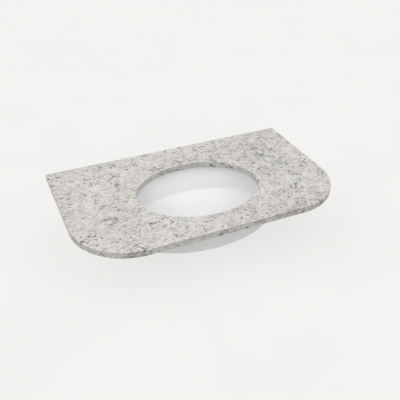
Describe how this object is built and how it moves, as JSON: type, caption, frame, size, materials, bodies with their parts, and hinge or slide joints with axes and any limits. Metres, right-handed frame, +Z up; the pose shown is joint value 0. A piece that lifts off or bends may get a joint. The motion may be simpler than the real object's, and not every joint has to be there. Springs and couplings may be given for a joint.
{
  "type": "vanity sink top",
  "caption": "Stone vanity top with rounded front corners and a wide oval undermount basin hung from rim clamps, with a push-push waste.",
  "frame": {"origin": "on the slab's underside, on its centre line, 45 mm in front of its back edge, where it rests on the cabinet's back rail", "axes": "+X along the slab's width, to the right seen from the front; +Y back towards the wall; +Z up"},
  "size_m": [0.94, 0.558, 0.236],
  "materials": {
    "stone": "polished speckled granite, pale grey-beige with grey-green grains",
    "vitreous_china": "glossy white glaze",
    "silicone": "cured white sealant",
    "plain_brass": "machined",
    "zinced_steel": "bright zinc plate",
    "chromed_brass": "polished chrome plate",
    "spring_steel": "drawn stainless wire",
    "black_rubber": "moulded, matt",
    "white_nylon": "moulded",
    "grey_acetal": "moulded"
  },
  "bodies": {
    "sink_top": {"stone_slab": "stone", "basin": "vitreous_china", "rim_sealant": "silicone", "anchor_insert_1": "plain_brass", "clamp_stud_1": "zinced_steel", "rim_clip_1": "zinced_steel", "clamp_washer_1": "zinced_steel", "wing_nut_1": "zinced_steel", "anchor_insert_2": "plain_brass", "clamp_stud_2": "zinced_steel", "rim_clip_2": "zinced_steel", "clamp_washer_2": "zinced_steel", "wing_nut_2": "zinced_steel", "anchor_insert_3": "plain_brass", "clamp_stud_3": "zinced_steel", "rim_clip_3": "zinced_steel", "clamp_washer_3": "zinced_steel", "wing_nut_3": "zinced_steel", "anchor_insert_4": "plain_brass", "clamp_stud_4": "zinced_steel", "rim_clip_4": "zinced_steel", "clamp_washer_4": "zinced_steel", "wing_nut_4": "zinced_steel", "anchor_insert_5": "plain_brass", "clamp_stud_5": "zinced_steel", "rim_clip_5": "zinced_steel", "clamp_washer_5": "zinced_steel", "wing_nut_5": "zinced_steel", "anchor_insert_6": "plain_brass", "clamp_stud_6": "zinced_steel", "rim_clip_6": "zinced_steel", "clamp_washer_6": "zinced_steel", "wing_nut_6": "zinced_steel", "waste_body": "chromed_brass", "waste_spider": "plain_brass", "flange_gasket": "black_rubber", "seat_gasket": "black_rubber", "slip_washer": "white_nylon", "waste_backnut": "chromed_brass", "cartridge_housing": "grey_acetal", "cartridge_collar": "grey_acetal", "plunger_spring": "spring_steel"},
    "plug": {"plunger": "plain_brass", "plug_cap": "chromed_brass", "plug_seal": "black_rubber"}
  },
  "joints": [
    {"name": "plug_slide", "type": "slide", "parent": "sink_top", "child": "plug", "axis": [0, 0, 1], "range_m": [0, 0.009], "deforming": ["plunger_spring"]}
  ]
}
